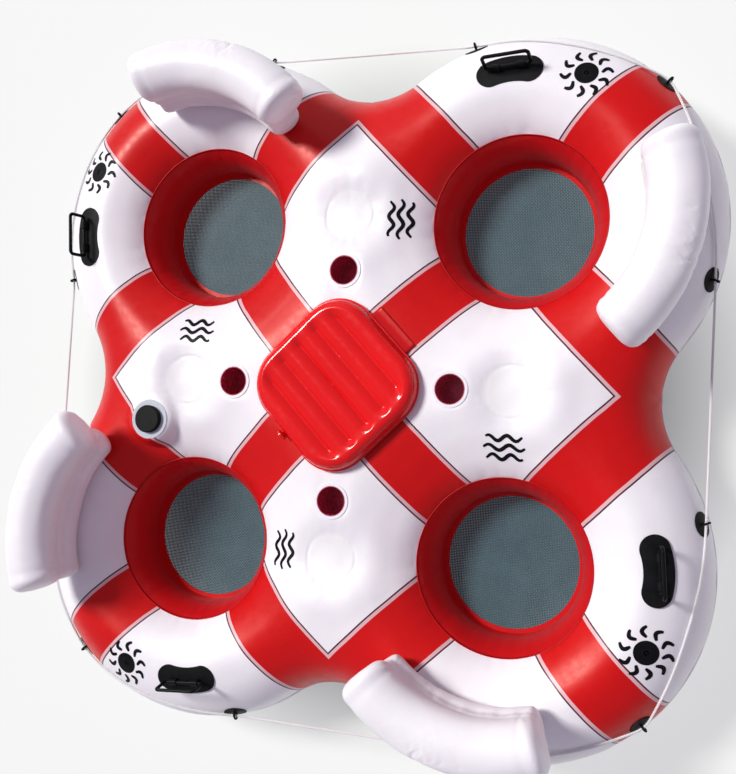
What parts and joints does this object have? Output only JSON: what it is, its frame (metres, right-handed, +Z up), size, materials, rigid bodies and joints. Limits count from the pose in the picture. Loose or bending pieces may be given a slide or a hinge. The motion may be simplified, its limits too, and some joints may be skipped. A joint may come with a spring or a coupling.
{
  "type": "inflatable lounge float",
  "caption": "Inflatable ring-lobed lounge float with mesh seats, backrests, cup holders, a grab line and a lidded cooler bay in the middle.",
  "frame": {"origin": "middle of the footprint, on the ground under the float", "axes": "+Z up; the seats stand on the diagonals and the quadrants with the cup holders lie along +X, +Y, -X and -Y"},
  "size_m": [2.4438, 2.4438, 0.685],
  "materials": {
    "white_vinyl": "smooth glossy PVC sheet",
    "red_vinyl": "smooth glossy PVC sheet",
    "bright_red_vinyl": "welded PVC band",
    "inner_web": "matte",
    "seat_mesh": "open polyester mesh",
    "cup_plastic": "moulded PVC",
    "well_vinyl": "smooth glossy PVC sheet",
    "lid_vinyl": "smooth glossy PVC sheet",
    "clear_vinyl": "translucent moulded PVC",
    "black_plastic": "moulded",
    "black_rubber": "moulded",
    "rope": "braided cord"
  },
  "bodies": {
    "raft": {"lobe_tube_ne": "white_vinyl", "lobe_tube_nw": "white_vinyl", "lobe_tube_sw": "white_vinyl", "lobe_tube_se": "white_vinyl", "quadrant_e": "white_vinyl", "quadrant_n": "white_vinyl", "quadrant_w": "white_vinyl", "quadrant_s": "white_vinyl", "seat_wall_ne": "red_vinyl", "seat_wall_nw": "red_vinyl", "seat_wall_sw": "red_vinyl", "seat_wall_se": "red_vinyl", "dimple_tie_e": "inner_web", "dimple_tie_n": "inner_web", "dimple_tie_w": "inner_web", "dimple_tie_s": "inner_web", "seat_mesh_ne": "seat_mesh", "seat_mesh_nw": "seat_mesh", "seat_mesh_sw": "seat_mesh", "seat_mesh_se": "seat_mesh", "mesh_weld_rings": "bright_red_vinyl", "cup_holder_e": "cup_plastic", "cup_holder_n": "cup_plastic", "cup_holder_w": "cup_plastic", "cup_holder_s": "cup_plastic", "cooler_well": "well_vinyl", "lid_hinge_strap": "lid_vinyl", "valve_flange": "clear_vinyl", "valve_body": "black_plastic", "valve_plug": "black_plastic", "backrest_flaps": "white_vinyl", "handle_pad_ne": "black_rubber", "handle_pad_nw": "black_rubber", "handle_pad_sw": "black_rubber", "handle_pad_se": "black_rubber", "rope_eyelets_ne": "black_rubber", "rope_eyelets_nw": "black_rubber", "rope_eyelets_sw": "black_rubber", "rope_eyelets_se": "black_rubber", "grab_rope": "rope", "rope_knot": "rope", "outline_seam": "white_vinyl"},
    "backrest_ne": {"backrest_ne": "white_vinyl", "backrest_valve_ne": "clear_vinyl"},
    "grip_ne": {"handle_grip_ne": "black_rubber"},
    "backrest_nw": {"backrest_nw": "white_vinyl", "backrest_valve_nw": "clear_vinyl"},
    "grip_nw": {"handle_grip_nw": "black_rubber"},
    "backrest_sw": {"backrest_sw": "white_vinyl", "backrest_valve_sw": "clear_vinyl"},
    "grip_sw": {"handle_grip_sw": "black_rubber"},
    "backrest_se": {"backrest_se": "white_vinyl", "backrest_valve_se": "clear_vinyl"},
    "grip_se": {"handle_grip_se": "black_rubber"},
    "lid": {"cooler_lid": "lid_vinyl", "lid_valve": "clear_vinyl"},
    "cap": {"valve_cap": "black_plastic"}
  },
  "joints": [
    {"name": "backrest_lean_ne", "type": "hinge", "parent": "raft", "child": "backrest_ne", "pos_m": [1.08339, 0.44655, 0.437], "axis": [0.225, 0.9744, 0], "range_deg": [0, 22], "stiffness_Nm_per_rad": 12},
    {"name": "backrest_lean_nw", "type": "hinge", "parent": "raft", "child": "backrest_nw", "pos_m": [-0.44655, 1.08339, 0.437], "axis": [-0.9744, 0.225, 0], "range_deg": [0, 22], "stiffness_Nm_per_rad": 12},
    {"name": "backrest_lean_sw", "type": "hinge", "parent": "raft", "child": "backrest_sw", "pos_m": [-1.08339, -0.44655, 0.437], "axis": [-0.225, -0.9744, 0], "range_deg": [0, 22], "stiffness_Nm_per_rad": 12},
    {"name": "backrest_lean_se", "type": "hinge", "parent": "raft", "child": "backrest_se", "pos_m": [0.44655, -1.08339, 0.437], "axis": [0.9744, -0.225, 0], "range_deg": [0, 22], "stiffness_Nm_per_rad": 12},
    {"name": "grip_swing_ne", "type": "hinge", "parent": "raft", "child": "grip_ne", "pos_m": [0.52278, 1.06003, 0.44462], "axis": [-0.9962, -0.0872, 0], "range_deg": [-60, 60], "stiffness_Nm_per_rad": 0.4},
    {"name": "grip_swing_nw", "type": "hinge", "parent": "raft", "child": "grip_nw", "pos_m": [-1.06003, 0.52278, 0.44462], "axis": [0.0872, -0.9962, 0], "range_deg": [-60, 60], "stiffness_Nm_per_rad": 0.4},
    {"name": "grip_swing_sw", "type": "hinge", "parent": "raft", "child": "grip_sw", "pos_m": [-0.52278, -1.06003, 0.44462], "axis": [0.9962, 0.0872, 0], "range_deg": [-60, 60], "stiffness_Nm_per_rad": 0.4},
    {"name": "grip_swing_se", "type": "hinge", "parent": "raft", "child": "grip_se", "pos_m": [1.06003, -0.52278, 0.44462], "axis": [-0.0872, 0.9962, 0], "range_deg": [-60, 60], "stiffness_Nm_per_rad": 0.4},
    {"name": "lid_hinge", "type": "hinge", "parent": "raft", "child": "lid", "pos_m": [0.18455, 0.18455, 0.48], "axis": [-0.7071, 0.7071, 0], "range_deg": [0, 105]},
    {"name": "cap_turn", "type": "hinge", "parent": "raft", "child": "cap", "pos_m": [-0.713, -0.147, 0.48], "axis": [0, 0, 1], "continuous": true}
  ]
}
